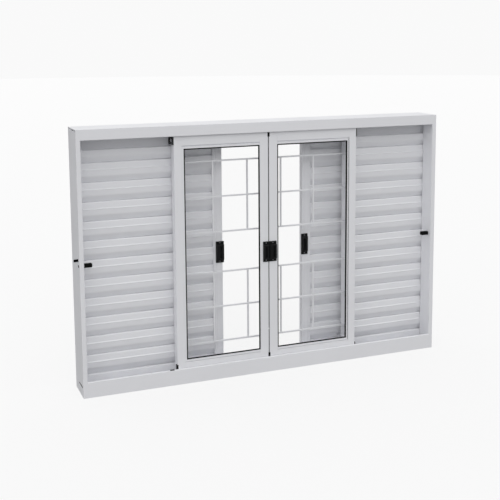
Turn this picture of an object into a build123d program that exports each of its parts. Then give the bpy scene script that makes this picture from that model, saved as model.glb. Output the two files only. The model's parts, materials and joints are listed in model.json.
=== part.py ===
"""Six-leaf aluminium window: glass leaves, fixed and sliding louvred shutters, and a grille.

Millimetres. X runs along the window, Y from the room side (minus) to the outside (plus), Z up.
The origin is at the middle of the underside.
"""
import os

from build123d import *

# Whole window
WIDTH = 1500
DEPTH = 140
HEIGHT = 1000
EDGE = WIDTH / 2
FRONT = -DEPTH / 2
BACK = DEPTH / 2

# Frame extrusions
PLATE = 3
BREAK = 1.5
SILL_FACE = 60
HEAD_FACE = 40
SILL_BACK_LIP = 24
LIP_RETURN = 9
FIN = 2
TRACK_HEIGHT = 24
GUIDE_HEIGHT = 25
DIVIDER_HEIGHT = 40
JAMB_FACE = 17
JAMB_BOX_DEPTH = 71
JAMB_WEB = 5
JAMB_WALL = 2
JAMB_TOP_GAP = 6
JAMB_TOP = HEIGHT - PLATE - JAMB_TOP_GAP

# Anchor straps, foot slots and seams in the outer sides of the jambs
ANCHOR_LENGTH = 100
ANCHOR_WIDTH = 13
ANCHOR_SLOPE = 14
ANCHOR_Z = 508
ANCHOR_DEPTH = 1
ANCHOR_HOLE_LENGTH = 17
ANCHOR_HOLE_HEIGHT = 9
ANCHOR_HOLE_Y = -49
ANCHOR_HOLE_Z = 498
FOOT_SLOT_Y = -25
FOOT_SLOT_Z = 38
FOOT_SLOT_LENGTH = 64
FOOT_SLOT_HEIGHT = 5
FOOT_SEAM_Z = 41
FOOT_SEAM_HEIGHT = 1

# Planes of the leaves, from the room side outwards
GLASS_FRONT = -58
LEAF_DEPTH = 25
GLASS_BACK = GLASS_FRONT + LEAF_DEPTH
GLASS_MID = GLASS_FRONT + LEAF_DEPTH / 2
INNER_DIVIDER = -30
GRILLE_Y = -10
FIXED_FRONT = 2
FIXED_DEPTH = 21
OUTER_DIVIDER = 27
SLIDING_FRONT = 36
SLIDING_DEPTH = 26
SLIDING_BACK = SLIDING_FRONT + SLIDING_DEPTH
SLIDING_MID = SLIDING_FRONT + SLIDING_DEPTH / 2

# Inside faces of the frame
WEB_X = EDGE - JAMB_WEB
JAMB_X = EDGE - JAMB_FACE
SEAT_FRONT = FRONT + JAMB_BOX_DEPTH
SEAT_BACK = FIXED_FRONT + FIXED_DEPTH + 1
MULLION_OUTER = 376
MULLION_WIDTH = 15
MULLION_INNER = MULLION_OUTER - MULLION_WIDTH
SLAT_SEAT = 6

# Louvre slats, measured from the ridge line of each slat
SLAT_COUNT = 12
SLAT_PITCH = 73.2
LOWEST_RIDGE = 109
HIGHEST_RIDGE = LOWEST_RIDGE + SLAT_PITCH * (SLAT_COUNT - 1)
SLAT_THICKNESS = 2.2
SLAT_TOP = 27
SLAT_TOP_DEPTH = 6
SLAT_HOOK = 14.2
SLAT_LEDGE = 3.5
SLAT_LEDGE_FRONT = 1
SLAT_NOSE = 0.8
SLAT_NOSE_HEIGHT = 1.6
SLAT_FLAT = 22
SLAT_KNEE = 47
SLAT_TAIL = 54
SLAT_TAIL_DEPTH = 17

# Rails above and below the slats
RAIL_TOP_Z = 62
RAIL_STEP_Z = 45
RAIL_LIP = 10
HEAD_RAIL_Z = HIGHEST_RIDGE + SLAT_LEDGE
HEAD_RAIL_SETBACK = 14
RAIL_NOTCH_WIDTH = 6
RAIL_NOTCH_DEPTH = 4

# Sliding shutters
SHUTTER_WIDTH = 381
SHUTTER_STILE = 33
SHUTTER_BOTTOM = 30
SHUTTER_TOP = 968
STILE_LIP = 5
STILE_LIP_SETBACK = 1.5
STILE_LINES = (7.5, 25)
LINE_WIDTH = 1.2
LINE_DEPTH = 1
SLAT_SETBACK = 4.4
LEFT_LEADING_EDGE = -160.5
RIGHT_LEADING_EDGE = 187
RUNNER_LENGTH = 30
RUNNER_WIDTH = 12
RUNNER_SLOT = FIN + 1
RUNNER_INSET = 70
RUNNER_OVERLAP = 3
GUIDE_RISE = 17
GUIDE_FLOOR = 2

# Glass leaves: flats of the stiles and rails, then groove, bead, gasket and pane
LEAF_GAP = 4
LEAF_EDGE = 382.5
LEAF_BOTTOM = 24
LEAF_TOP = 968
MEETING_STILE = 35
OUTER_FLAT_X = 352.5
BOTTOM_FLAT_Z = 81
TOP_FLAT_Z = 923
GLAZING_GROOVE = 4
BOTTOM_GROOVE = 1.5
GROOVE_DEPTH = 5
OPENING_X0 = LEAF_GAP / 2 + MEETING_STILE
OPENING_X1 = 344
OPENING_Z0 = 91
OPENING_Z1 = 911
BEAD_SETBACK = 1
REBATE = 6
REBATE_FRONT = GLASS_FRONT + 2
GASKET_FRONT = GLASS_FRONT + 1.5
GASKET_BACK = GLASS_FRONT + 12
GASKET_SHOW = 4.5
GASKET_BACK_SHOW = 2
PANE_FRONT = GLASS_FRONT + 3
PANE_THICKNESS = 4
PANE_REACH = 3

# Grille
BAR = 6
GRILLE_UPPER = (853, 713, 573)
GRILLE_LOWER = (413, 273, 133)
GRILLE_UPRIGHTS = (-214.5, -71.5, 71.5, 214.5)

# Latches
LATCH_REACH = 11.5
LATCH_PLATE = 3
LATCH_CORNER = 1
LATCH_TAB = 12
LATCH_SIDE = 0.8
LATCH_ROUNDING = 3
FINGER_WIDTH = 9
FINGER_END = 6
FINGER_DEPTH = 6
LATCH_GAP = 1
LEFT_LEAF_LATCH_WIDTH = 24.5
RIGHT_LEAF_LATCH_WIDTH = 31
LEAF_LATCH_HEIGHT = 81
LEAF_LATCH_Z = 487.5
LEFT_SHUTTER_LATCH_WIDTH = 33.5
RIGHT_SHUTTER_LATCH_WIDTH = 28
SHUTTER_LATCH_HEIGHT = 86
SHUTTER_LATCH_Z = 481
SHUTTER_LATCH_OVERHANG = 5

# Bumpers on the jambs
BUMPER_LENGTH = 34
BUMPER_DEPTH = 14
BUMPER_HEIGHT = 14.5
BUMPER_Z = 498
BUMPER_ROUNDING = 4

# Plastic corner guides of the glass leaves
GUIDE_LENGTH = 30
GUIDE_DEPTH = 16
CLIP_THICKNESS = 4
CLIP_Y0 = GLASS_FRONT + 1
CLIP_Y1 = 0
CLIP_Z0 = 927
CLIP_Z1 = 957
CLIP_HOLE_LENGTH = 38
CLIP_HOLE_WIDTH = 14
SHOE_WIDTH = 3.5
SHOE_DEPTH = 12
SHOE_WRAP = 3
SHOE_WRAP_THICKNESS = 1
LEFT_SHOE_TOP = 75
RIGHT_SHOE_TOP = 68
PLUG_WIDTH = 8
PLUG_HEIGHT = 17
PLUG_REACH = 1.5
PLUG_TOP_Z = 959
PLUG_BOTTOM_Z = 74.5
SILL_CAP_LENGTH = 18
SILL_CAP_WIDTH = 8
SILL_CAP_HEIGHT = 1.5
SILL_CAP_X = -406.5


def block(x0, x1, y0, y1, z0, z1):
    """A plain block between two opposite corners."""
    middle = ((x0 + x1) / 2, (y0 + y1) / 2, (z0 + z1) / 2)
    return Pos(*middle) * Box(abs(x1 - x0), abs(y1 - y0), abs(z1 - z0))


def along_x(points, x0, x1):
    """Extrude a closed outline of (y, z) points from x0 to x1."""
    outline = make_face(Polyline(*points, close=True))
    return extrude(Plane.YZ.offset(x0) * outline, amount=x1 - x0)


def along_z(points, z0, z1):
    """Extrude a closed outline of (x, y) points from z0 to z1."""
    outline = make_face(Polyline(*points, close=True))
    return extrude(Plane.XY.offset(z0) * outline, amount=z1 - z0)


def join(pieces):
    """Fuse touching pieces into one solid."""
    whole = pieces[0]
    for piece in pieces[1:]:
        whole = whole + piece
    return whole.clean()


def mirrored(shape):
    """The same piece for the other side of the window."""
    return mirror(shape, about=Plane.YZ)


def make_right_jamb_outline():
    """The right jamb as if its front box were solid; it also trims the sill."""
    points = [
        (JAMB_X + BREAK, FRONT),
        (EDGE, FRONT),
        (EDGE, BACK),
        (JAMB_X, BACK),
        (JAMB_X, BACK - PLATE),
        (WEB_X, BACK - PLATE),
        (WEB_X, SEAT_BACK + FIN),
        (JAMB_X, SEAT_BACK + FIN),
        (JAMB_X, SEAT_BACK),
        (WEB_X, SEAT_BACK),
        (WEB_X, SEAT_FRONT),
        (JAMB_X, SEAT_FRONT),
        (JAMB_X, FRONT + BREAK),
    ]
    return along_z(points, 0, JAMB_TOP)


def make_side_cuts():
    """Cuts in the outer side of the right jamb: anchor pocket and hole, foot slot and seam."""
    strap = Box(2 * ANCHOR_DEPTH, ANCHOR_LENGTH, ANCHOR_WIDTH)
    strap = Pos(EDGE, 0, ANCHOR_Z) * Rot(-ANCHOR_SLOPE, 0, 0) * strap
    through = JAMB_WALL + 1
    hole = SlotOverall(ANCHOR_HOLE_LENGTH, ANCHOR_HOLE_HEIGHT)
    hole = Plane.YZ.offset(EDGE) * Pos(ANCHOR_HOLE_Y, ANCHOR_HOLE_Z) * hole
    hole = extrude(hole, amount=-through)
    foot = Box(2 * through, FOOT_SLOT_LENGTH, FOOT_SLOT_HEIGHT)
    foot = Pos(EDGE, FOOT_SLOT_Y, FOOT_SLOT_Z) * foot
    seam = block(EDGE - ANCHOR_DEPTH, EDGE, FOOT_SLOT_Y + FOOT_SLOT_LENGTH / 2, BACK,
                 FOOT_SEAM_Z, FOOT_SEAM_Z + FOOT_SEAM_HEIGHT)
    return [strap, hole, foot, seam]


def make_right_jamb(outline, head):
    """Extrusion with a hollow box on the room side and a channel that takes the slat ends.

    Its top is notched to fit inside the head, which runs over it.
    """
    jamb = outline - block(JAMB_X + JAMB_WALL, EDGE - JAMB_WALL, FRONT + JAMB_WALL,
                           SEAT_FRONT - JAMB_WALL, 0, JAMB_TOP)
    for cut in [head] + make_side_cuts():
        jamb = jamb - cut
    return jamb


def channel_points(face, back_lip, fins):
    """Outline in (y, z) of a channel that opens upwards, with fins given as (y, top) pairs."""
    points = [
        (FRONT, 0),
        (BACK, 0),
        (BACK, back_lip),
        (BACK - PLATE, back_lip),
        (BACK - PLATE, PLATE),
    ]
    for y, top in fins:
        points.append((y + FIN / 2, PLATE))
        points.append((y + FIN / 2, top))
        points.append((y - FIN / 2, top))
        points.append((y - FIN / 2, PLATE))
    points += [
        (FRONT + PLATE, PLATE),
        (FRONT + PLATE, face - PLATE),
        (FRONT + LIP_RETURN, face - PLATE),
        (FRONT + LIP_RETURN, face),
        (FRONT + BREAK, face),
        (FRONT, face - BREAK),
    ]
    return points


def make_sill(jambs):
    """Channel with a tall room-side face, two tracks, two dividers and a low back lip."""
    fins = [
        (SLIDING_MID, TRACK_HEIGHT),
        (OUTER_DIVIDER, DIVIDER_HEIGHT),
        (INNER_DIVIDER, DIVIDER_HEIGHT),
        (GLASS_MID, TRACK_HEIGHT),
    ]
    return along_x(channel_points(SILL_FACE, SILL_BACK_LIP, fins), -WEB_X, WEB_X) - jambs


def make_head():
    """The channel upside down, over the jambs: a face, two guide fins, two dividers, a back lip."""
    fins = [
        (SLIDING_MID, GUIDE_HEIGHT),
        (OUTER_DIVIDER, DIVIDER_HEIGHT),
        (INNER_DIVIDER, DIVIDER_HEIGHT),
        (GLASS_MID, GUIDE_HEIGHT),
    ]
    points = [(y, HEIGHT - z) for y, z in channel_points(HEAD_FACE, HEAD_FACE, fins)]
    return along_x(points, -EDGE, EDGE)


def make_right_mullion():
    """Post between the dividers, slotted on its outer side for the fixed slats."""
    y0 = INNER_DIVIDER + FIN / 2
    y1 = OUTER_DIVIDER - FIN / 2
    points = [
        (MULLION_INNER, y0),
        (MULLION_OUTER, y0),
        (MULLION_OUTER, SEAT_FRONT),
        (MULLION_OUTER - SLAT_SEAT, SEAT_FRONT),
        (MULLION_OUTER - SLAT_SEAT, SEAT_BACK),
        (MULLION_OUTER, SEAT_BACK),
        (MULLION_OUTER, y1),
        (MULLION_INNER, y1),
    ]
    return along_z(points, PLATE, HEIGHT - PLATE)


def slat_points(top_front, top_back, top):
    """Outline in (y, z) of a slat from its ridge line, with the place of its top flange given."""
    room_side = [
        (top_back, top),
        (top_front, top),
        (0, SLAT_NOSE_HEIGHT),
        (-SLAT_NOSE, SLAT_NOSE_HEIGHT / 2),
        (-SLAT_NOSE, -SLAT_NOSE_HEIGHT / 2),
        (0, -SLAT_NOSE_HEIGHT),
        (1, -SLAT_FLAT),
        (SLAT_TAIL_DEPTH, -SLAT_KNEE),
        (SLAT_TAIL_DEPTH, -SLAT_TAIL),
    ]
    outer_side = [
        (SLAT_TAIL_DEPTH + SLAT_THICKNESS, -SLAT_TAIL),
        (SLAT_TAIL_DEPTH + SLAT_THICKNESS, -SLAT_KNEE),
        (1 + SLAT_THICKNESS, -SLAT_FLAT),
        (SLAT_THICKNESS, 0),
        (top_front + SLAT_THICKNESS, top - SLAT_THICKNESS),
        (top_back, top - SLAT_THICKNESS),
    ]
    return room_side + outer_side


def make_slats(x0, x1, front):
    """A ladder of louvre slats; each tail laps outside the top hook of the slat below."""
    slats = []
    for step in range(SLAT_COUNT):
        if step < SLAT_COUNT - 1:
            points = slat_points(SLAT_TOP_DEPTH, SLAT_HOOK, SLAT_TOP)
        else:
            points = slat_points(SLAT_LEDGE_FRONT, SLAT_TAIL_DEPTH + SLAT_THICKNESS, SLAT_LEDGE)
        ridge = LOWEST_RIDGE + step * SLAT_PITCH
        section = [(front + y, ridge + z) for y, z in points]
        slats.append(along_x(section, x0, x1))
    return Compound(children=slats)


def make_louvre_bottom_rail(x0, x1, front, depth, z0):
    """Bottom rail, stepped at the back so that the lowest slat's tail laps outside it."""
    points = [
        (front, z0),
        (front + depth, z0),
        (front + depth, RAIL_STEP_Z),
        (front + RAIL_LIP, RAIL_STEP_Z),
        (front + RAIL_LIP, RAIL_TOP_Z),
        (front + BREAK, RAIL_TOP_Z),
        (front, RAIL_TOP_Z - BREAK),
    ]
    return along_x(points, x0, x1)


def make_right_fixed_rails():
    """Top and bottom rails of a fixed shutter; the top one lies back and is notched at its ends."""
    x0 = MULLION_OUTER - SLAT_SEAT
    bottom = make_louvre_bottom_rail(x0, WEB_X, FIXED_FRONT, FIXED_DEPTH, PLATE)
    top_front = FIXED_FRONT + HEAD_RAIL_SETBACK
    top = block(x0, WEB_X, top_front, FIXED_FRONT + FIXED_DEPTH, HEAD_RAIL_Z, HEIGHT - PLATE)
    for notch_x in (MULLION_OUTER, JAMB_X - RAIL_NOTCH_WIDTH):
        top = top - block(notch_x, notch_x + RAIL_NOTCH_WIDTH, top_front,
                          top_front + RAIL_NOTCH_DEPTH, HEAD_RAIL_Z, HEIGHT - PLATE)
    return Compound(children=[bottom, top])


def make_shutter_stile(edge, inward):
    """Upright of a sliding shutter, with two lips that enclose the slat ends.

    Its outer edge is at x = edge, and inward is 1 or -1, the way from there to the slats.
    """
    face = edge + inward * SHUTTER_STILE
    lip_end = face + inward * STILE_LIP
    lip_front = SLIDING_FRONT + STILE_LIP_SETBACK
    stile = join([
        block(edge, face, SLIDING_FRONT, SLIDING_BACK, SHUTTER_BOTTOM, SHUTTER_TOP),
        block(face, lip_end, lip_front, lip_front + FIN, RAIL_TOP_Z, HEAD_RAIL_Z),
        block(face, lip_end, SLIDING_BACK - FIN, SLIDING_BACK, RAIL_STEP_Z, HEAD_RAIL_Z),
    ])
    for line in STILE_LINES:
        line_x = edge + inward * line
        stile = stile - block(line_x, line_x + inward * LINE_WIDTH, SLIDING_FRONT,
                              SLIDING_FRONT + LINE_DEPTH, SHUTTER_BOTTOM, SHUTTER_TOP)
    return stile


def make_runner(x, z0, z1, slot_z0, slot_z1):
    """Plastic block that straddles a fin of the sill or the head."""
    body = block(x - RUNNER_LENGTH / 2, x + RUNNER_LENGTH / 2,
                 SLIDING_MID - RUNNER_WIDTH / 2, SLIDING_MID + RUNNER_WIDTH / 2, z0, z1)
    slot = block(x - RUNNER_LENGTH / 2, x + RUNNER_LENGTH / 2,
                 SLIDING_MID - RUNNER_SLOT / 2, SLIDING_MID + RUNNER_SLOT / 2, slot_z0, slot_z1)
    return body - slot


def make_shutter_runners(left_edge):
    """Two runners under a sliding shutter and two guides on top of it."""
    bottom_z = TRACK_HEIGHT - RUNNER_OVERLAP
    top_z = SHUTTER_TOP + GUIDE_RISE
    pieces = []
    for x in (left_edge + RUNNER_INSET, left_edge + SHUTTER_WIDTH - RUNNER_INSET):
        pieces.append(make_runner(x, bottom_z, SHUTTER_BOTTOM, bottom_z, TRACK_HEIGHT))
        pieces.append(make_runner(x, SHUTTER_TOP, top_z, SHUTTER_TOP + GUIDE_FLOOR, top_z))
    return Compound(children=pieces)


def make_latch(x0, x1, face_y, z, height, finger_side):
    """Black latch on the room side of a stile: a tabbed plate, a raised shell, a finger slot.

    finger_side is 1 or -1, the half of the shell in which the finger slot lies.
    """
    plate = block(x0, x1, face_y - LATCH_PLATE, face_y, z - height / 2, z + height / 2)
    plate = fillet(plate.edges().filter_by(Axis.Y), LATCH_CORNER)
    shell_half = height / 2 - LATCH_TAB
    shell = block(x0 + LATCH_SIDE, x1 - LATCH_SIDE, face_y - LATCH_REACH, face_y - LATCH_PLATE,
                  z - shell_half, z + shell_half)
    shell = fillet(shell.faces().sort_by(Axis.Y)[0].edges(), LATCH_ROUNDING)
    slot_x = (x0 + x1) / 2 + finger_side * FINGER_WIDTH / 4
    slot = SlotOverall(2 * (shell_half - FINGER_END), FINGER_WIDTH, rotation=90)
    slot = Plane.XZ.offset(LATCH_REACH - face_y) * Pos(slot_x, z) * slot
    return join([plate, shell]) - extrude(slot, amount=-FINGER_DEPTH)


def make_sliding_shutter(side, left_edge):
    """All the nodes of one sliding shutter; its leading edge is the one nearer the middle."""
    right_edge = left_edge + SHUTTER_WIDTH
    left_face = left_edge + SHUTTER_STILE
    right_face = right_edge - SHUTTER_STILE
    left_stile = make_shutter_stile(left_edge, 1)
    right_stile = make_shutter_stile(right_edge, -1)
    rail_front = SLIDING_FRONT + STILE_LIP_SETBACK
    bottom = make_louvre_bottom_rail(left_face, right_face, rail_front,
                                     SLIDING_BACK - rail_front, SHUTTER_BOTTOM)
    top = block(left_face, right_face, rail_front + HEAD_RAIL_SETBACK, SLIDING_BACK,
                HEAD_RAIL_Z, SHUTTER_TOP)
    if side == "left":
        leading_stile = right_stile
        trailing_stile = left_stile
        latch_x1 = right_edge + SHUTTER_LATCH_OVERHANG
        latch_x0 = latch_x1 - LEFT_SHUTTER_LATCH_WIDTH
        finger_side = 1
    else:
        leading_stile = left_stile
        trailing_stile = right_stile
        latch_x0 = left_edge - SHUTTER_LATCH_OVERHANG
        latch_x1 = latch_x0 + RIGHT_SHUTTER_LATCH_WIDTH
        finger_side = -1
    return {
        f"{side}_shutter_leading_stile": leading_stile,
        f"{side}_shutter_trailing_stile": trailing_stile,
        f"{side}_shutter_top_rail": top,
        f"{side}_shutter_bottom_rail": bottom,
        f"{side}_shutter_slats": make_slats(left_face, right_face, SLIDING_FRONT + SLAT_SETBACK),
        f"{side}_shutter_latch": make_latch(latch_x0, latch_x1, SLIDING_FRONT, SHUTTER_LATCH_Z,
                                            SHUTTER_LATCH_HEIGHT, finger_side),
        f"{side}_shutter_runners": make_shutter_runners(left_edge),
    }


def leaf_bar(x0, x1, z0, z1):
    """A bar as deep as a glass leaf."""
    return block(x0, x1, GLASS_FRONT, GLASS_BACK, z0, z1)


def opening_block(reach, y0, y1):
    """A block as large as the leaf's opening, widened all round by the reach."""
    return block(OPENING_X0 - reach, OPENING_X1 + reach, y0, y1,
                 OPENING_Z0 - reach, OPENING_Z1 + reach)


def make_glazing_cuts():
    """Groove outside the beads, setback of the beads, and the rebate behind them for the glass."""
    outer = (OPENING_X0, OUTER_FLAT_X)
    inner = (OPENING_X0, OUTER_FLAT_X - GLAZING_GROOVE)
    levels = (BOTTOM_FLAT_Z + BOTTOM_GROOVE, TOP_FLAT_Z - GLAZING_GROOVE)
    groove = block(*outer, GLASS_FRONT, GLASS_FRONT + GROOVE_DEPTH, BOTTOM_FLAT_Z, TOP_FLAT_Z)
    groove = groove - block(*inner, GLASS_FRONT, GLASS_FRONT + GROOVE_DEPTH, *levels)
    setback = block(*inner, GLASS_FRONT, GLASS_FRONT + BEAD_SETBACK, *levels)
    return [groove, setback, opening_block(REBATE, REBATE_FRONT, GLASS_BACK)]


def make_right_leaf_frame():
    """Stiles and rails of the right glass leaf, with the beads as part of them."""
    members = {
        "meeting_stile": leaf_bar(LEAF_GAP / 2, OPENING_X0, LEAF_BOTTOM, LEAF_TOP),
        "outer_stile": join([
            leaf_bar(OUTER_FLAT_X, LEAF_EDGE, LEAF_BOTTOM, LEAF_TOP),
            leaf_bar(OPENING_X1, OUTER_FLAT_X, BOTTOM_FLAT_Z, TOP_FLAT_Z),
        ]),
        "bottom_rail": join([
            leaf_bar(OPENING_X0, OUTER_FLAT_X, LEAF_BOTTOM, BOTTOM_FLAT_Z),
            leaf_bar(OPENING_X0, OPENING_X1, BOTTOM_FLAT_Z, OPENING_Z0),
        ]),
        "top_rail": join([
            leaf_bar(OPENING_X0, OUTER_FLAT_X, TOP_FLAT_Z, LEAF_TOP),
            leaf_bar(OPENING_X0, OPENING_X1, OPENING_Z1, TOP_FLAT_Z),
        ]),
    }
    for cut in make_glazing_cuts():
        members = {name: member - cut for name, member in members.items()}
    return members


def make_right_gasket(pane):
    """Black rubber channel that holds the pane in the rebate and shows all round the opening."""
    held = opening_block(REBATE, REBATE_FRONT, GASKET_BACK)
    shown = opening_block(0, GASKET_FRONT, REBATE_FRONT)
    gasket = join([held, shown]) - opening_block(-GASKET_SHOW, GASKET_FRONT, PANE_FRONT)
    return gasket - opening_block(-GASKET_BACK_SHOW, PANE_FRONT, GASKET_BACK) - pane


def make_leaf_latch(x0, x1, finger_side):
    """Latch on the meeting stile of a glass leaf."""
    return make_latch(x0, x1, GLASS_FRONT, LEAF_LATCH_Z, LEAF_LATCH_HEIGHT, finger_side)


def make_right_glass_leaf():
    """Nodes of the right glass leaf, without its latch."""
    leaf = make_right_leaf_frame()
    pane = opening_block(PANE_REACH, PANE_FRONT, PANE_FRONT + PANE_THICKNESS)
    leaf["pane"] = pane
    leaf["gasket"] = make_right_gasket(pane)
    return leaf


def make_grille_panel(levels):
    """Flat grille of level bars, joined by uprights, between the two mullions."""
    y0 = GRILLE_Y - BAR / 2
    y1 = GRILLE_Y + BAR / 2
    bars = []
    for z in levels:
        bars.append(block(-MULLION_INNER, MULLION_INNER, y0, y1, z - BAR / 2, z + BAR / 2))
    for x in GRILLE_UPRIGHTS:
        bars.append(block(x - BAR / 2, x + BAR / 2, y0, y1, min(levels), max(levels)))
    return join(bars)


def make_bumpers():
    """Rubber stops on the inner faces of the jambs, in the plane of the glass leaves."""
    right = block(JAMB_X - BUMPER_LENGTH, JAMB_X, GLASS_MID - BUMPER_DEPTH / 2,
                  GLASS_MID + BUMPER_DEPTH / 2, BUMPER_Z - BUMPER_HEIGHT / 2,
                  BUMPER_Z + BUMPER_HEIGHT / 2)
    right = fillet(right.faces().sort_by(Axis.X)[0].edges(), BUMPER_ROUNDING)
    return Compound(children=[mirrored(right), right])


def make_top_guide(x):
    """Slotted block on top of a leaf, which straddles the fin of the head."""
    top_z = LEAF_TOP + GUIDE_RISE
    body = block(x - GUIDE_LENGTH / 2, x + GUIDE_LENGTH / 2, GLASS_MID - GUIDE_DEPTH / 2,
                 GLASS_MID + GUIDE_DEPTH / 2, LEAF_TOP, top_z)
    slot = block(x - GUIDE_LENGTH / 2, x + GUIDE_LENGTH / 2, GLASS_MID - RUNNER_SLOT / 2,
                 GLASS_MID + RUNNER_SLOT / 2, LEAF_TOP + GUIDE_FLOOR, top_z)
    return body - slot


def make_right_clip():
    """Clip with a slotted eye at the top of the leaf's outer side."""
    plate = block(LEAF_EDGE, LEAF_EDGE + CLIP_THICKNESS, CLIP_Y0, CLIP_Y1, CLIP_Z0, CLIP_Z1)
    eye = SlotOverall(CLIP_HOLE_LENGTH, CLIP_HOLE_WIDTH)
    eye = Plane.YZ.offset(LEAF_EDGE) * Pos((CLIP_Y0 + CLIP_Y1) / 2, (CLIP_Z0 + CLIP_Z1) / 2) * eye
    return plate - extrude(eye, amount=CLIP_THICKNESS)


def make_right_shoe(top):
    """Thin shoe at the foot of the leaf's outer side."""
    return block(LEAF_EDGE, LEAF_EDGE + SHOE_WIDTH, GLASS_FRONT, GLASS_FRONT + SHOE_DEPTH,
                 TRACK_HEIGHT, top)


def make_left_shoe():
    """The taller shoe of the left leaf, which wraps the front corner of the stile."""
    wrap = block(-LEAF_EDGE - SHOE_WIDTH, -LEAF_EDGE + SHOE_WRAP,
                 GLASS_FRONT - SHOE_WRAP_THICKNESS, GLASS_FRONT, TRACK_HEIGHT, LEFT_SHOE_TOP)
    return join([mirrored(make_right_shoe(LEFT_SHOE_TOP)), wrap])


def make_sill_cap():
    """Oval cap on the front lip of the sill, beside the left leaf."""
    cap = Pos(SILL_CAP_X, FRONT + LIP_RETURN / 2) * SlotOverall(SILL_CAP_LENGTH, SILL_CAP_WIDTH)
    return extrude(Plane.XY.offset(SILL_FACE) * cap, amount=SILL_CAP_HEIGHT)


def make_meeting_plug(top):
    """Plug between the meeting stiles of the glass leaves, with a wider cap in front of them."""
    z0 = top - PLUG_HEIGHT
    return join([
        block(-LEAF_GAP / 2, LEAF_GAP / 2, GLASS_FRONT, GLASS_MID, z0, top),
        block(-PLUG_WIDTH / 2, PLUG_WIDTH / 2, GLASS_FRONT - PLUG_REACH, GLASS_FRONT, z0, top),
    ])


def make_corner_guides():
    """All the plastic guides, clips, shoes, plugs and the cap round the glass leaves."""
    right_side = [
        make_top_guide(LEAF_GAP / 2 + GUIDE_LENGTH),
        make_top_guide(LEAF_EDGE - GUIDE_LENGTH),
        make_right_clip(),
    ]
    both_sides = right_side + [mirrored(piece) for piece in right_side]
    feet = [make_left_shoe(), make_right_shoe(RIGHT_SHOE_TOP), make_sill_cap()]
    plugs = [make_meeting_plug(top) for top in (PLUG_TOP_Z, PLUG_BOTTOM_Z)]
    return Compound(children=both_sides + feet + plugs)


def build_window():
    """All nodes by name."""
    head = make_head()
    right_outline = make_right_jamb_outline()
    right_jamb = make_right_jamb(right_outline, head)
    jambs = right_outline + mirrored(right_outline)
    right_mullion = make_right_mullion()
    right_rails = make_right_fixed_rails()
    right_slats = make_slats(MULLION_OUTER - SLAT_SEAT, WEB_X, FIXED_FRONT)
    nodes = {
        "head": head,
        "sill": make_sill(jambs),
        "left_jamb": mirrored(right_jamb),
        "right_jamb": right_jamb,
        "left_mullion": mirrored(right_mullion),
        "right_mullion": right_mullion,
        "left_fixed_rails": mirrored(right_rails),
        "right_fixed_rails": right_rails,
        "left_fixed_slats": mirrored(right_slats),
        "right_fixed_slats": right_slats,
        "upper_grille": make_grille_panel(GRILLE_UPPER),
        "lower_grille": make_grille_panel(GRILLE_LOWER),
        "jamb_bumpers": make_bumpers(),
        "corner_guides": make_corner_guides(),
        "left_glass_latch": make_leaf_latch(-LATCH_GAP / 2 - LEFT_LEAF_LATCH_WIDTH,
                                            -LATCH_GAP / 2, -1),
        "right_glass_latch": make_leaf_latch(LATCH_GAP / 2, LATCH_GAP / 2 + RIGHT_LEAF_LATCH_WIDTH, 1),
    }
    for name, shape in make_right_glass_leaf().items():
        nodes[f"right_glass_{name}"] = shape
        nodes[f"left_glass_{name}"] = mirrored(shape)
    nodes.update(make_sliding_shutter("left", LEFT_LEADING_EDGE - SHUTTER_WIDTH))
    nodes.update(make_sliding_shutter("right", RIGHT_LEADING_EDGE))
    return nodes


os.makedirs("parts", exist_ok=True)
for node_name, node_shape in build_window().items():
    export_step(node_shape, f"parts/{node_name}.step")
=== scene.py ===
"""Looks of the louvred aluminium window: paint, glass, rubber, small hardware, light and camera."""

import json
import math

import bmesh
import bpy
from mathutils import Euler, Matrix, Vector

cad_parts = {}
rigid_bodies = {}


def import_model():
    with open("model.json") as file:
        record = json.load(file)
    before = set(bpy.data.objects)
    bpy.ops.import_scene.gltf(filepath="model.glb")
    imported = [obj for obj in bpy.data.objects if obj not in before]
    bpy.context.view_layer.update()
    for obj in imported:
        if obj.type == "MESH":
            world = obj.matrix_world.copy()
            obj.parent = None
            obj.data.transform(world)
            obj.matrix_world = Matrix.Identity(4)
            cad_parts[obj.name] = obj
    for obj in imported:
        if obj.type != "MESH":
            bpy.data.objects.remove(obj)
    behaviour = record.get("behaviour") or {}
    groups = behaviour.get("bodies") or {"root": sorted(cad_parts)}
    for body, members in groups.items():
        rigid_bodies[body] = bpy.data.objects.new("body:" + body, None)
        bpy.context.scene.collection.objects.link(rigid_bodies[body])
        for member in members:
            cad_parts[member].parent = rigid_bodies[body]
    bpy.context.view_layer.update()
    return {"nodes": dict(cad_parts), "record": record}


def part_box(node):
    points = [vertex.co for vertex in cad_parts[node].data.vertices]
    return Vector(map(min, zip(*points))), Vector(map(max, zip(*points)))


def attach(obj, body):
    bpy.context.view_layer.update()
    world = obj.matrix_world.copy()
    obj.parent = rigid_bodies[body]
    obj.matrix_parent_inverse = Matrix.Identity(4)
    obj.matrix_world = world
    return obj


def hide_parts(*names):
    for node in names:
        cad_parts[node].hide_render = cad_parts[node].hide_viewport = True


MM = 0.001
SIDES = ("left", "right")
TO_ROOM = (0, -1, 0)
WHITE = (1, 1, 1, 1)

# Camera
CAMERA_PLACE = (-1.3685, -3.3335, 1.3160)
CAMERA_TURN_DEG = (82.2816, 0.3953, -21.5627)
CAMERA_LENS = 66.316
CAMERA_SENSOR = 36
CAMERA_SHIFT_Y = -0.172
CAMERA_REACH = 100

# Light. Each lobe of the surroundings is the direction it comes from, its strength, and how much
# it dims towards its middle.
SURROUNDINGS = (
    ((0, 0, 1), 2.82, 0.7),
    ((0, 0, -1), 0.35, 0),
    ((-1, 0, 0), 0.22, 0),
    ((0, -1, 0), 0.25, 0),
)
KEY_PLACE = (-0.69, -4.9, 3.13)
KEY_TARGET = (0, 0, 0.5)
KEY_SIZE = 1.3
KEY_POWER = 16

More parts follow.
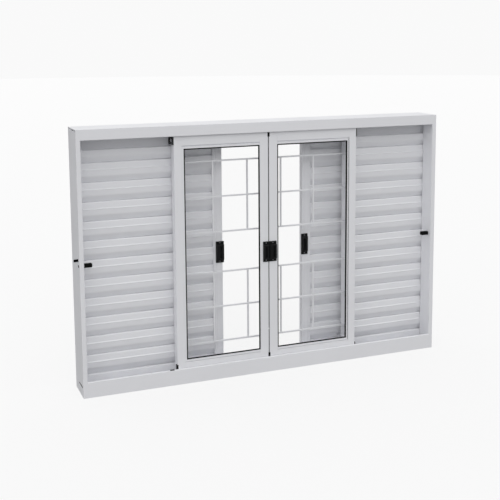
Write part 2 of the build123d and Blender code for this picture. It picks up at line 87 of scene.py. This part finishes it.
# Floor and backdrop
BACKDROP_RADIUS = 30
BACKDROP_GLOW = 0.95
BACKDROP_SEGMENTS = 48
BACKDROP_RINGS = 24
FLOOR_SIDES = 96
FLOOR_PALE = (0.10, 0.10, 0.10)
FLOOR_ROUGHNESS = 0.9
FLOOR_GLOW = 0.82

# Paint
PAINT = (0.87, 0.875, 0.905)
PAINT_ROUGHNESS = 0.38
PAINT_ROUGHNESS_SPREAD = 0.05
PAINT_TONE_SPREAD = 0.012
PAINT_GRAIN_SCALE = 700
PAINT_SHEEN_SCALE = 9
PAINT_TONE_SCALE = 6

# Rubber, plastic, metal and glass
BLACK = (0.003, 0.003, 0.004)
RUBBER_BLACK = (0.003, 0.003, 0.003)
RUBBER_ROUGHNESS = 0.6
RUBBER_GLOSS = 0.12
RUBBER_GRAIN_SCALE = 900
PLASTIC_ROUGHNESS = 0.42
PLASTIC_ROUGHNESS_SPREAD = 0.06
PLASTIC_GLOSS = 0.28
PLASTIC_GRAIN_SCALE = 1200
PLASTIC_GRAIN_HEIGHT = 0.06 * MM
PLASTIC_SHEEN_SCALE = 60
MATT_ROUGHNESS = 0.9
MATT_GLOSS = 0.02
BRIGHT_METAL = (0.97, 0.97, 0.97)
BRIGHT_ROUGHNESS = 0.12
SCREW_GREY = (0.25, 0.25, 0.26)
SCREW_ROUGHNESS = 0.35
GLASS_TINT = (0.03, 0.04, 0.04)
GLASS_ROUGHNESS = 0.02
GLASS_COVER = 0.01

# Noise in the finishes: the span of its values that is used, and its detail
NOISE_LOW = 0.3
NOISE_HIGH = 0.7
GRAIN_DETAIL = 2
SHEEN_DETAIL = 3
TONE_DETAIL = 4
GRAIN_STRENGTH = 0.35
GRAIN_HEIGHT = 0.05 * MM

# Edges of the CAD nodes
WELD_REACH = 0.02 * MM
EDGE_ROUNDING = 0.5 * MM
EDGE_SEGMENTS = 2
EDGE_ANGLE_DEG = 35

# Louvre slats. Each corner of the section is its depth behind the front, its height above the
# ridge and its bend radius, in millimetres.
SLAT_COUNT = 12
SLAT_PITCH = 73.2 * MM
SLAT_NOSE = 0.8 * MM
SLAT_TAIL = 54 * MM
SLAT_BEND_STEPS = 6
SLAT_BEND_SHARE = 0.45
SLAT_SHARP_DEG = 30
SLAT_FACE = (
    (-0.8, 0.8, 0.8),
    (-0.8, -0.8, 0.6),
    (0, -2.0, 0.8),
    (1, -22, 18),
    (17, -47, 4),
)
SLAT_TAIL_END = ((17, -54, 0.8), (19.2, -54, 0.8))
SLAT_BACK = (
    (19.2, -47, 4),
    (3.2, -22, 18),
    (2.6, 0, 2),
)
SLAT_HOOK = ((14.2, 24.8, 0), (14.2, 27, 0), (4, 27, 4), (2.6, 4, 1.5))
SLAT_HOOK_BACK = ((4.8, 4, 2), (6.2, 24.8, 1.8))
TOP_SLAT_LEDGE = ((19.2, 1.3, 0), (19.2, 3.5, 0), (2.1, 3.5, 0.6))
TOP_SLAT_LEDGE_BACK = ((4, 1.3, 0.5),)

# Screws of the latches
SCREW_RADIUS = 2.6 * MM
SCREW_HEIGHT = 1.2 * MM
SCREW_CROWN = 2.4
SCREW_SIDES = 28
SCREW_RINGS = 9
CROSS_REACH = 0.62
CROSS_HALF_WIDTH = 0.16
CROSS_DEPTH = 0.7 * MM
SCREW_INSET = 6 * MM
LATCH_PLATE = 3 * MM

# Wall anchors in the pockets of the jambs; their black is partly painted shade, standing in for the
# shadow of a bent anchor
ANCHOR_SLOPE_DEG = 14
ANCHOR_HALF_LENGTH = 48.5 * MM
ANCHOR_BAR = 4.6 * MM
ANCHOR_TAIL = 6.3 * MM
ANCHOR_TAIL_FROM = 30 * MM
ANCHOR_POCKET = 1 * MM
ANCHOR_THICKNESS = 0.8 * MM
ANCHOR_Z = 508 * MM

# Black sheets sunk in the slots of the jambs, painted shade that darkens the slots: along, up,
# length, height and corner radius
SLOT_SHADE_SUNK = 0.1 * MM
SLOT_SHADE_THICKNESS = 0.8 * MM
SLOT_SHADE_CORNER_STEPS = 8
SLOT_SHADES = {
    "anchor_hole_shade": (-49 * MM, 498 * MM, 16.9 * MM, 8.9 * MM, 4.4 * MM),
    "foot_slot_shade": (-25 * MM, 38 * MM, 63.9 * MM, 4.9 * MM, 0.3 * MM),
}

# Strip in the groove of the left outer glass stile
GROOVE_FROM_EDGE = 30 * MM
GROOVE_WIDTH = 4 * MM
GROOVE_DEPTH = 5 * MM
GROOVE_Z0 = 82.5 * MM
GROOVE_Z1 = 919 * MM
STRIP_SUNK = 0.9 * MM
STRIP_LEAN = 0.3 * MM

# Seal in the gap between the meeting stiles; its black also darkens the gap as painted shade
SEAL_SUNK = 4 * MM
SEAL_DEPTH = 4 * MM
SEAL_Z0 = 75 * MM
SEAL_Z1 = 941.5 * MM

# Small bright dome in front of that gap
BUFFER_RADIUS = 3 * MM
BUFFER_Z = 173 * MM
BUFFER_RINGS = 6
BUFFER_SIDES = 20


def new_material(name, color, roughness):
    """A material with its Principled shader."""
    material = bpy.data.materials.new(name)
    material.use_nodes = True
    shader = material.node_tree.nodes["Principled BSDF"]
    shader.inputs["Base Color"].default_value = (*color, 1)
    shader.inputs["Roughness"].default_value = roughness
    return material, shader


def add_noise(material, scale, detail):
    """Noise over the object's own space."""
    nodes = material.node_tree.nodes
    place = nodes.new("ShaderNodeTexCoord")
    noise = nodes.new("ShaderNodeTexNoise")
    noise.inputs["Scale"].default_value = scale
    noise.inputs["Detail"].default_value = detail
    material.node_tree.links.new(place.outputs["Object"], noise.inputs["Vector"])
    return noise


def add_grain(material, shader, scale, height=GRAIN_HEIGHT):
    """Fine bumps over the surface, as of powder coat or moulded plastic."""
    noise = add_noise(material, scale, GRAIN_DETAIL)
    bump = material.node_tree.nodes.new("ShaderNodeBump")
    bump.inputs["Strength"].default_value = GRAIN_STRENGTH
    bump.inputs["Distance"].default_value = height
    material.node_tree.links.new(noise.outputs["Fac"], bump.inputs["Height"])
    material.node_tree.links.new(bump.outputs["Normal"], shader.inputs["Normal"])


def add_sheen_changes(material, shader, scale, roughness, spread):
    """Slow change of the roughness over the surface, as handling leaves it."""
    noise = add_noise(material, scale, SHEEN_DETAIL)
    ramp = material.node_tree.nodes.new("ShaderNodeMapRange")
    ramp.inputs["From Min"].default_value = NOISE_LOW
    ramp.inputs["From Max"].default_value = NOISE_HIGH
    ramp.inputs["To Min"].default_value = roughness - spread
    ramp.inputs["To Max"].default_value = roughness + spread
    material.node_tree.links.new(noise.outputs["Fac"], ramp.inputs["Value"])
    material.node_tree.links.new(ramp.outputs["Result"], shader.inputs["Roughness"])


def add_tone_changes(material, shader, scale, color, spread):
    """Slow change of the tone over the surface."""
    noise = add_noise(material, scale, TONE_DETAIL)
    ramp = material.node_tree.nodes.new("ShaderNodeValToRGB")
    ends = ((NOISE_LOW, 1 - spread), (NOISE_HIGH, 1 + spread))
    for stop, (place, share) in zip(ramp.color_ramp.elements, ends):
        stop.position = place
        stop.color = (*[min(1, part * share) for part in color], 1)
    material.node_tree.links.new(noise.outputs["Fac"], ramp.inputs["Fac"])
    material.node_tree.links.new(ramp.outputs["Color"], shader.inputs["Base Color"])


def make_paint(name):
    """Satin white powder coat."""
    material, shader = new_material(name, PAINT, PAINT_ROUGHNESS)
    add_grain(material, shader, PAINT_GRAIN_SCALE)
    add_sheen_changes(material, shader, PAINT_SHEEN_SCALE, PAINT_ROUGHNESS,
                      PAINT_ROUGHNESS_SPREAD)
    add_tone_changes(material, shader, PAINT_TONE_SCALE, PAINT, PAINT_TONE_SPREAD)
    return material


def make_rubber():
    """Black rubber of the gaskets, the bumpers and the seal, whose black also stands for painted
    shade in the gap between the meeting stiles.
    """
    material, shader = new_material("black_rubber", RUBBER_BLACK, RUBBER_ROUGHNESS)
    shader.inputs["Specular IOR Level"].default_value = RUBBER_GLOSS
    add_grain(material, shader, RUBBER_GRAIN_SCALE)
    return material


def make_plastic():
    """Black moulded plastic of the latches and guides."""
    material, shader = new_material("black_plastic", BLACK, PLASTIC_ROUGHNESS)
    shader.inputs["Specular IOR Level"].default_value = PLASTIC_GLOSS
    add_grain(material, shader, PLASTIC_GRAIN_SCALE, PLASTIC_GRAIN_HEIGHT)
    add_sheen_changes(material, shader, PLASTIC_SHEEN_SCALE, PLASTIC_ROUGHNESS,
                      PLASTIC_ROUGHNESS_SPREAD)
    return material


def make_black_and_painted_shade():
    """Black without shine, for the anchors of the jambs, whose black is partly painted shade, and
    for the black sheets of painted shade in their slots.
    """
    material, shader = new_material("black_and_painted_shade", BLACK, MATT_ROUGHNESS)
    shader.inputs["Specular IOR Level"].default_value = MATT_GLOSS
    add_grain(material, shader, RUBBER_GRAIN_SCALE)
    return material


def make_metal(name, color, roughness):
    """Bare metal."""
    material, shader = new_material(name, color, roughness)
    shader.inputs["Metallic"].default_value = 1
    return material


def make_glass():
    """Clear glass with a faint dark veil."""
    material, shader = new_material("clear_glass", GLASS_TINT, GLASS_ROUGHNESS)
    shader.inputs["Alpha"].default_value = GLASS_COVER
    return material


def make_materials():
    """Every finish by name; the names of the record's slots are among them."""
    return {
        "screw": make_metal("screw_metal", SCREW_GREY, SCREW_ROUGHNESS),
        "bright": make_metal("bright_metal", BRIGHT_METAL, BRIGHT_ROUGHNESS),
        "matt": make_black_and_painted_shade(),
        "frame_paint": make_paint("frame_paint"),
        "slat_paint": make_paint("slat_paint"),
        "grille_paint": make_paint("grille_paint"),
        "glass": make_glass(),
        "rubber": make_rubber(),
        "plastic": make_plastic(),
    }


def dress_nodes(frame, materials):
    """Gives each CAD node its finish and slightly rounded edges."""
    slots = {part["node"]: part["material_slot"] for part in frame["record"]["subparts"]}
    for name, node in frame["nodes"].items():
        node.data.materials.clear()
        node.data.materials.append(materials[slots[name]])
        weld = node.modifiers.new("weld", "WELD")
        weld.merge_threshold = WELD_REACH
        bevel = node.modifiers.new("edges", "BEVEL")
        bevel.width = EDGE_ROUNDING
        bevel.segments = EDGE_SEGMENTS
        bevel.limit_method = "ANGLE"
        bevel.angle_limit = math.radians(EDGE_ANGLE_DEG)
        bevel.harden_normals = True


def add_piece(name, points, faces, material, body, slot):
    """A new mesh piece that rides on a body, with points in the frame's own space."""
    mesh = bpy.data.meshes.new(name)
    mesh.from_pydata([tuple(point) for point in points], [], faces)
    shell = bmesh.new()
    shell.from_mesh(mesh)
    bmesh.ops.recalc_face_normals(shell, faces=shell.faces)
    shell.to_mesh(mesh)
    shell.free()
    mesh.materials.append(material)
    piece = bpy.data.objects.new(name, mesh)
    bpy.context.scene.collection.objects.link(piece)
    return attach(piece, body)


def prism(first, second):
    """Points and faces of the solid between two matching closed outlines."""
    count = len(first)
    faces = [tuple(range(count)), tuple(range(2 * count - 1, count - 1, -1))]
    for corner in range(count):
        after = (corner + 1) % count
        faces.append((corner, corner + count, after + count, after))
    return [*first, *second], faces


def upright_prism(outline, z0, z1):
    """Points and faces of an upright bar with an outline in (x, y)."""
    return prism(*[[(x, y, z) for x, y in outline] for z in (z0, z1)])


def ring_faces(rings, sides):
    """Faces of a closed dome whose first point is the tip, followed by its rings."""
    faces = [(0, 1 + side, 1 + (side + 1) % sides) for side in range(sides)]
    for ring in range(rings - 1):
        inner = 1 + ring * sides
        outer = inner + sides
        for side in range(sides):
            after = (side + 1) % sides
            faces.append((inner + side, outer + side, outer + after, inner + after))
    faces.append(tuple(range(1 + (rings - 1) * sides, 1 + rings * sides)))
    return faces


def rounded_outline(corners):
    """Closed outline through corners (depth, height, bend radius), each bend a short arc."""
    outline = []
    for index, (depth, height, radius) in enumerate(corners):
        corner = Vector((depth, height))
        before = Vector(corners[index - 1][:2]) - corner
        after = Vector(corners[(index + 1) % len(corners)][:2]) - corner
        if radius == 0:
            outline.append(corner)
            continue
        longest = SLAT_BEND_SHARE * min(before.length, after.length)
        reach = min(radius / math.tan(before.angle(after) / 2), longest)
        start = corner + before.normalized() * reach
        end = corner + after.normalized() * reach
        for step in range(SLAT_BEND_STEPS + 1):
            share = step / SLAT_BEND_STEPS
            on_first = start.lerp(corner, share)
            on_second = corner.lerp(end, share)
            outline.append(on_first.lerp(on_second, share))
    return outline


def slat_outline(is_top):
    """Section of one slat in millimetres, as (depth, height) from its ridge."""
    hook = TOP_SLAT_LEDGE if is_top else SLAT_HOOK
    hook_back = TOP_SLAT_LEDGE_BACK if is_top else SLAT_HOOK_BACK
    return rounded_outline([*hook, *SLAT_FACE, *SLAT_TAIL_END, *SLAT_BACK, *hook_back])


def add_slats(node, body, material):
    """Slats with smooth bends in place of the node's plain folded ones."""
    low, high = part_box(node)
    points = []
    faces = []
    for step in range(SLAT_COUNT):
        ridge = low.z + SLAT_TAIL + step * SLAT_PITCH
        outline = slat_outline(step == SLAT_COUNT - 1)
        ends = [[(x, low.y + SLAT_NOSE + depth * MM, ridge + height * MM)
                 for depth, height in outline] for x in (low.x, high.x)]
        slat_points, slat_faces = prism(*ends)
        first = len(points)
        points += slat_points
        faces += [tuple(first + index for index in face) for face in slat_faces]
    slats = add_piece(f"{node}_folded", points, faces, material, body, "slat_paint")
    slats.data.polygons.foreach_set("use_smooth", [True] * len(faces))
    slats.data.set_sharp_from_angle(angle=math.radians(SLAT_SHARP_DEG))
    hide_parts(node)


def screw_mesh():
    """Points and faces of a domed screw head with a cross recess, seated on z = 0."""
    points = [(0, 0, SCREW_HEIGHT - CROSS_DEPTH)]
    for ring in range(1, SCREW_RINGS + 1):
        share = ring / SCREW_RINGS
        for side in range(SCREW_SIDES):
            turn = 2 * math.pi * side / SCREW_SIDES
            x = share * math.cos(turn)
            y = share * math.sin(turn)
            z = SCREW_HEIGHT * math.sqrt(max(0, 1 - share ** SCREW_CROWN))
            near_axis = min(abs(x), abs(y)) < CROSS_HALF_WIDTH
            if near_axis and share < CROSS_REACH:
                z -= CROSS_DEPTH
            points.append((x * SCREW_RADIUS, y * SCREW_RADIUS, z))
    return points, ring_faces(SCREW_RINGS, SCREW_SIDES)


def add_screw(name, place, body, materials):
    """A screw head at place that faces the room."""
    points, faces = screw_mesh()
    turn = Vector(TO_ROOM).to_track_quat("Z", "Y").to_matrix().to_4x4()
    pose = Matrix.Translation(place) @ turn
    add_piece(name, [pose @ Vector(point) for point in points], faces, materials["screw"], body,
              "plastic")


def add_latch_screws(materials):
    """Two screws at the ends of each latch plate."""
    bodies = {
        "left_glass_latch": "frame",
        "right_glass_latch": "frame",
        "left_shutter_latch": "left_shutter",
        "right_shutter_latch": "right_shutter",
    }
    for node, body in bodies.items():
        low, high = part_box(node)
        middle = (low.x + high.x) / 2
        plate_front = high.y - LATCH_PLATE
        for end, z in (("low", low.z + SCREW_INSET), ("high", high.z - SCREW_INSET)):
            add_screw(f"{node}_screw_{end}", (middle, plate_front, z), body, materials)


def add_side_piece(name, side, outline, depths, materials):
    """Black piece in the outer side of a jamb, from an outline in (y, z) and two depths."""
    low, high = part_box(f"{side}_jamb")
    outer, inward = (low.x, 1) if side == "left" else (high.x, -1)
    layers = [[(outer + inward * depth, y, z) for y, z in outline] for depth in depths]
    add_piece(name, *prism(*layers), materials["matt"], "frame", "plastic")


def add_anchor(side, materials):
    """Black fishtail strip that lies flat in the sloped pocket of a jamb; its black is partly
    painted shade, for the shadow of a bent anchor.
    """
    strip = (
        (ANCHOR_HALF_LENGTH, -ANCHOR_BAR),
        (ANCHOR_HALF_LENGTH, ANCHOR_BAR),
        (-ANCHOR_TAIL_FROM, ANCHOR_BAR),
        (-ANCHOR_HALF_LENGTH, ANCHOR_TAIL),
        (-ANCHOR_HALF_LENGTH, -ANCHOR_TAIL),
        (-ANCHOR_TAIL_FROM, -ANCHOR_BAR),
    )
    slope = Matrix.Rotation(math.radians(-ANCHOR_SLOPE_DEG), 2)
    middle = Vector((0, ANCHOR_Z))
    outline = [middle + slope @ Vector(point) for point in strip]
    depths = (ANCHOR_POCKET, ANCHOR_POCKET - ANCHOR_THICKNESS)
    add_side_piece(f"{side}_wall_anchor", side, outline, depths, materials)


def slot_shade_outline(along, up, length, height, radius):
    """Rectangle with rounded corners, as (along, up) points."""
    outline = []
    for quarter, (end, edge) in enumerate(((1, 1), (-1, 1), (-1, -1), (1, -1))):
        middle_along = along + end * (length / 2 - radius)
        middle_up = up + edge * (height / 2 - radius)
        for step in range(SLOT_SHADE_CORNER_STEPS + 1):
            turn = math.pi / 2 * (quarter + step / SLOT_SHADE_CORNER_STEPS)
            outline.append((middle_along + radius * math.cos(turn),
                            middle_up + radius * math.sin(turn)))
    return outline


def add_slot_shades(side, materials):
    """Black sheets sunk in the slots of a jamb's outer side: painted shade that darkens the slots.
    """
    for name, place in SLOT_SHADES.items():
        depths = (SLOT_SHADE_SUNK, SLOT_SHADE_SUNK + SLOT_SHADE_THICKNESS)
        add_side_piece(f"{side}_{name}", side, slot_shade_outline(*place), depths, materials)


def add_groove_strip(materials):
    """Painted strip that fills most of the groove beside the bead of the left outer stile."""
    low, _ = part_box("left_glass_outer_stile")
    outer = low.x + GROOVE_FROM_EDGE
    inner = outer + GROOVE_WIDTH
    front = low.y + STRIP_SUNK
    back = low.y + GROOVE_DEPTH
    outline = [(outer, back), (outer, front), (inner, front + STRIP_LEAN), (inner, back)]
    points, faces = upright_prism(outline, GROOVE_Z0, GROOVE_Z1)
    add_piece("left_groove_strip", points, faces, materials["frame_paint"], "frame",
              "frame_paint")


def meeting_gap():
    """The sides of the gap between the meeting stiles, and their front."""
    _, left_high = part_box("left_glass_meeting_stile")
    right_low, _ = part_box("right_glass_meeting_stile")
    return left_high.x, right_low.x, right_low.y


def add_meeting_seal(materials):
    """Dark seal deep in the gap between the meeting stiles; its black also darkens the gap as
    painted shade.
    """
    left, right, stile_front = meeting_gap()
    front = stile_front + SEAL_SUNK
    back = front + SEAL_DEPTH
    outline = [(left, front), (right, front), (right, back), (left, back)]
    points, faces = upright_prism(outline, SEAL_Z0, SEAL_Z1)
    add_piece("meeting_seal", points, faces, materials["rubber"], "frame", "rubber")


def add_meeting_buffer(materials):
    """Small bright dome in front of the gap between the meeting stiles, near its lower end."""
    left, right, front = meeting_gap()
    middle = (left + right) / 2
    points = [(middle, front - BUFFER_RADIUS, BUFFER_Z)]
    for ring in range(1, BUFFER_RINGS + 1):
        lean = math.pi / 2 * ring / BUFFER_RINGS
        for side in range(BUFFER_SIDES):
            turn = 2 * math.pi * side / BUFFER_SIDES
            points.append((middle + BUFFER_RADIUS * math.sin(lean) * math.cos(turn),
                           front - BUFFER_RADIUS * math.cos(lean),
                           BUFFER_Z + BUFFER_RADIUS * math.sin(lean) * math.sin(turn)))
    add_piece("meeting_buffer", points, ring_faces(BUFFER_RINGS, BUFFER_SIDES),
              materials["bright"], "frame", "plastic")


def show_to_camera_only(thing):
    """Keeps a stage piece out of the light on the window and out of its reflections."""
    thing.visible_diffuse = False
    thing.visible_glossy = False
    thing.visible_shadow = False


def make_floor():
    """A wide pale floor with an even glow."""
    bpy.ops.mesh.primitive_circle_add(vertices=FLOOR_SIDES, radius=BACKDROP_RADIUS,
                                      fill_type="NGON")
    floor = bpy.context.object
    floor.name = "floor"
    material, shader = new_material("pale_floor", FLOOR_PALE, FLOOR_ROUGHNESS)
    shader.inputs["Emission Color"].default_value = WHITE
    shader.inputs["Emission Strength"].default_value = FLOOR_GLOW
    floor.data.materials.append(material)
    show_to_camera_only(floor)
    return floor


def make_backdrop():
    """A pale glowing dome behind everything."""
    bpy.ops.mesh.primitive_uv_sphere_add(segments=BACKDROP_SEGMENTS, ring_count=BACKDROP_RINGS,
                                         radius=BACKDROP_RADIUS)
    dome = bpy.context.object
    dome.name = "backdrop"
    material = bpy.data.materials.new("pale_backdrop")
    material.use_nodes = True
    nodes = material.node_tree.nodes
    nodes.remove(nodes["Principled BSDF"])
    glow = nodes.new("ShaderNodeEmission")
    glow.inputs["Strength"].default_value = BACKDROP_GLOW
    material.node_tree.links.new(glow.outputs[0], nodes["Material Output"].inputs["Surface"])
    dome.data.materials.append(material)
    show_to_camera_only(dome)
    return dome


def add_key_light():
    """Softbox in front of the window, above the camera."""
    data = bpy.data.lights.new("key_light", "AREA")
    data.size = KEY_SIZE
    data.energy = KEY_POWER
    light = bpy.data.objects.new("key_light", data)
    light.location = KEY_PLACE
    light.rotation_mode = "QUATERNION"
    light.rotation_quaternion = (Vector(KEY_PLACE) - Vector(KEY_TARGET)).to_track_quat("Z", "Y")
    bpy.context.scene.collection.objects.link(light)


def add_math(tree, operation, first, second, third=None):
    """A math node; each input is another node's output or a number."""
    node = tree.nodes.new("ShaderNodeMath")
    node.operation = operation
    for socket, value in zip(node.inputs, (first, second, third)):
        if isinstance(value, bpy.types.NodeSocket):
            tree.links.new(value, socket)
        elif value is not None:
            socket.default_value = value
    return node.outputs[0]


def add_surroundings():
    """Soft light from all sides, the sum of the lobes in SURROUNDINGS."""
    world = bpy.data.worlds.new("studio")
    world.use_nodes = True
    tree = world.node_tree
    place = tree.nodes.new("ShaderNodeTexCoord")
    total = 0
    for direction, strength, dip in SURROUNDINGS:
        along = tree.nodes.new("ShaderNodeVectorMath")
        along.operation = "DOT_PRODUCT"
        along.inputs[1].default_value = direction
        tree.links.new(place.outputs["Generated"], along.inputs[0])
        facing = add_math(tree, "MAXIMUM", along.outputs["Value"], 0)
        dimmed = add_math(tree, "MULTIPLY_ADD", facing, -dip, 1)
        lobe = add_math(tree, "MULTIPLY", facing, dimmed)
        total = add_math(tree, "MULTIPLY_ADD", lobe, strength, total)
    background = tree.nodes["Background"]
    background.inputs["Color"].default_value = WHITE
    tree.links.new(total, background.inputs["Strength"])
    bpy.context.scene.world = world


def set_camera():
    """The camera at the place and turn of the photo's."""
    data = bpy.data.cameras.new("camera")
    data.lens = CAMERA_LENS
    data.sensor_width = CAMERA_SENSOR
    data.shift_y = CAMERA_SHIFT_Y
    data.clip_end = CAMERA_REACH
    camera = bpy.data.objects.new("camera", data)
    camera.location = CAMERA_PLACE
    camera.rotation_euler = Euler([math.radians(turn) for turn in CAMERA_TURN_DEG], "XYZ")
    bpy.context.scene.collection.objects.link(camera)
    bpy.context.scene.camera = camera


for thing in list(bpy.data.objects):
    bpy.data.objects.remove(thing)
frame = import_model()
materials = make_materials()
dress_nodes(frame, materials)
for side in SIDES:
    add_slats(f"{side}_fixed_slats", "frame", materials["slat_paint"])
    add_slats(f"{side}_shutter_slats", f"{side}_shutter", materials["slat_paint"])
add_latch_screws(materials)
for side in SIDES:
    add_anchor(side, materials)
    add_slot_shades(side, materials)
add_groove_strip(materials)
add_meeting_seal(materials)
add_meeting_buffer(materials)
make_floor()
make_backdrop()
add_key_light()
add_surroundings()
set_camera()
bpy.context.scene.view_settings.view_transform = "Standard"
